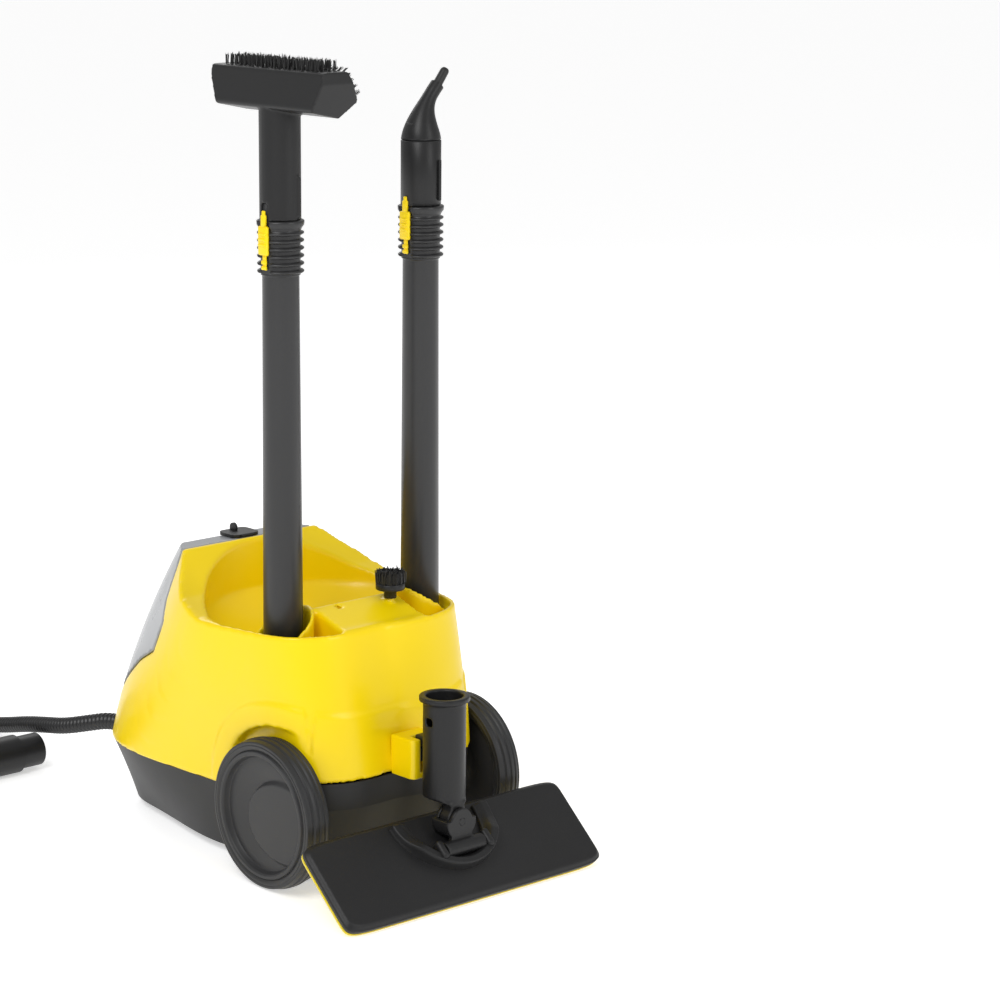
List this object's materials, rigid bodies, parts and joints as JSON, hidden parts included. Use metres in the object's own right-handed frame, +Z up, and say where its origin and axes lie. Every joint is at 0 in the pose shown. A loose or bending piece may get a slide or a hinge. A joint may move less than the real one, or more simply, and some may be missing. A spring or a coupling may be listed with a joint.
{
  "type": "steam cleaner",
  "caption": "Canister steam cleaner on large wheels, with a tray, a lift-off water tank, parked extension tubes, tools and floor nozzle, and a steam hose with its gun.",
  "frame": {"origin": "on the floor, below the middle of the machine with its parked floor nozzle and without the free hose", "axes": "+Z up, +Y from the rear wheels and parked nozzle towards the water tank and hose, +X to the right seen from behind"},
  "size_m": [0.4172, 0.908, 0.725],
  "materials": {
    "casing_yellow": "satin moulded plastic",
    "casing_dark": "fine moulded grain",
    "tank_grey": "translucent smoked plastic",
    "valve_plastic": "moulded",
    "tyre_rubber": "matt",
    "wheel_plastic": "moulded",
    "tube_plastic": "fine grain",
    "tool_plastic": "fine grain",
    "bristle": "nylon",
    "cloth_yellow": "microfibre pile",
    "hook_tape": "moulded hooks",
    "steel": "turned",
    "boiler_steel": "drawn stainless",
    "insulation": "glass wool felt",
    "heater_metal": "cast",
    "pump_body": "powder coat",
    "pipe_silicone": "smooth",
    "socket_brass": "turned",
    "board": "solder mask",
    "button_on": "moulded",
    "button_off": "moulded",
    "hose_rubber": "corrugated",
    "gun_plastic": "fine grain",
    "key_yellow": "moulded"
  },
  "bodies": {
    "machine": {"upper_casing": "casing_yellow", "lower_casing": "casing_dark", "parking_bracket": "casing_dark", "axle": "steel", "axle_clips": "steel", "casing_screws": "steel", "cable_gland": "casing_dark", "boiler": "boiler_steel", "boiler_jacket": "insulation", "heating_element": "heater_metal", "water_pump": "pump_body", "feed_pipe": "valve_plastic", "delivery_pipe": "pipe_silicone", "steam_valve": "pump_body", "steam_pipe": "pipe_silicone", "steam_socket": "socket_brass", "control_board": "board", "switch_block": "casing_dark", "steam_plug": "gun_plastic", "hose_tube": "hose_rubber", "hose_tail": "hose_rubber", "hose_coil": "hose_rubber", "gun_body": "gun_plastic"},
    "left_wheel_set": {"left_tyre": "tyre_rubber", "left_wheel": "wheel_plastic"},
    "right_wheel_set": {"right_tyre": "tyre_rubber", "right_wheel": "wheel_plastic"},
    "caster": {"caster_fork": "casing_dark", "caster_pin": "steel"},
    "caster_roller": {"caster_wheel": "tyre_rubber"},
    "tank": {"water_tank": "tank_grey", "tank_valve": "valve_plastic"},
    "filler_cap": {"tank_cap": "casing_dark"},
    "drain": {"drain_plug": "casing_dark"},
    "on_key": {"on_button": "button_on"},
    "off_key": {"off_button": "button_off"},
    "tube_left": {"left_tube": "tube_plastic"},
    "lock_left": {"left_lock_slider": "casing_yellow"},
    "hand_brush": {"hand_tool": "tool_plastic", "hand_bristles": "bristle"},
    "tube_right": {"right_tube": "tube_plastic"},
    "lock_right": {"right_lock_slider": "casing_yellow"},
    "spray_nozzle": {"point_nozzle": "tool_plastic", "nozzle_tip": "tool_plastic"},
    "peg_brush": {"round_brush": "tool_plastic", "round_bristles": "bristle"},
    "neck": {"nozzle_neck": "tool_plastic"},
    "yoke": {"nozzle_yoke": "tool_plastic", "swivel_pin": "steel"},
    "head": {"nozzle_head": "tool_plastic", "tilt_pins": "steel", "hook_strips": "hook_tape", "floor_cloth": "cloth_yellow"},
    "plug_release": {"plug_key": "key_yellow"},
    "trigger": {"gun_trigger": "key_yellow"},
    "child_lock": {"gun_lock": "key_yellow"}
  },
  "joints": [
    {"name": "left_wheel_roll", "type": "hinge", "parent": "machine", "child": "left_wheel_set", "pos_m": [-0.113, -0.078, 0.068], "axis": [1, 0, 0], "continuous": true},
    {"name": "right_wheel_roll", "type": "hinge", "parent": "machine", "child": "right_wheel_set", "pos_m": [0.113, -0.078, 0.068], "axis": [1, 0, 0], "continuous": true},
    {"name": "caster_swivel", "type": "hinge", "parent": "machine", "child": "caster", "pos_m": [0, 0.16, 0.03], "axis": [0, 0, 1], "continuous": true},
    {"name": "caster_roll", "type": "hinge", "parent": "caster", "child": "caster_roller", "pos_m": [0, 0.151, 0.015], "axis": [1, 0, 0], "continuous": true},
    {"name": "tank_lift", "type": "slide", "parent": "machine", "child": "tank", "axis": [0, 0.4147, 0.91], "range_m": [0, 0.12]},
    {"name": "filler_cap_hinge", "type": "hinge", "parent": "tank", "child": "filler_cap", "pos_m": [0, 0.0955, 0.2718], "axis": [1, 0, 0], "range_deg": [0, 95]},
    {"name": "drain_plug_turn", "type": "hinge", "parent": "machine", "child": "drain", "pos_m": [0, 0.027, 0.015], "axis": [0, 0, 1], "range_deg": [0, 360]},
    {"name": "on_button_press", "type": "slide", "parent": "machine", "child": "on_key", "axis": [0, -1, 0], "range_m": [0, 0.0025], "stiffness_N_per_m": 400},
    {"name": "off_button_press", "type": "slide", "parent": "machine", "child": "off_key", "axis": [0, -1, 0], "range_m": [0, 0.0025], "stiffness_N_per_m": 400},
    {"name": "left_tube_lift", "type": "slide", "parent": "machine", "child": "tube_left", "axis": [0, 0, 1], "range_m": [0, 0.16]},
    {"name": "left_lock_slide", "type": "slide", "parent": "tube_left", "child": "lock_left", "axis": [0, 0, -1], "range_m": [0, 0.005], "stiffness_N_per_m": 150},
    {"name": "hand_tool_pull", "type": "slide", "parent": "tube_left", "child": "hand_brush", "axis": [0, 0, 1], "range_m": [0, 0.03]},
    {"name": "right_tube_lift", "type": "slide", "parent": "machine", "child": "tube_right", "axis": [0, 0, 1], "range_m": [0, 0.16]},
    {"name": "right_lock_slide", "type": "slide", "parent": "tube_right", "child": "lock_right", "axis": [0, 0, -1], "range_m": [0, 0.005], "stiffness_N_per_m": 150},
    {"name": "point_nozzle_pull", "type": "slide", "parent": "tube_right", "child": "spray_nozzle", "axis": [0, 0, 1], "range_m": [0, 0.03]},
    {"name": "round_brush_lift", "type": "slide", "parent": "machine", "child": "peg_brush", "axis": [0, 0, 1], "range_m": [0, 0.02]},
    {"name": "floor_nozzle_lift", "type": "slide", "parent": "machine", "child": "neck", "axis": [0, 0, 1], "range_m": [0, 0.035]},
    {"name": "nozzle_swivel", "type": "hinge", "parent": "neck", "child": "yoke", "pos_m": [0, -0.193, 0.067], "axis": [0, 1, 0], "range_deg": [-40, 40]},
    {"name": "head_tilt", "type": "hinge", "parent": "yoke", "child": "head", "pos_m": [0, -0.205, 0.04504], "axis": [1, 0, 0], "range_deg": [-80, 0]},
    {"name": "plug_key_press", "type": "slide", "parent": "machine", "child": "plug_release", "axis": [0, 0, -1], "range_m": [0, 0.0015], "stiffness_N_per_m": 400},
    {"name": "gun_trigger_pull", "type": "hinge", "parent": "machine", "child": "trigger", "pos_m": [-0.22975, 0.369, 0.0192], "axis": [0, 0, 1], "range_deg": [0, 8], "stiffness_Nm_per_rad": 0.5},
    {"name": "child_lock_slide", "type": "slide", "parent": "machine", "child": "child_lock", "axis": [0, 1, 0], "range_m": [0, 0.003]}
  ]
}
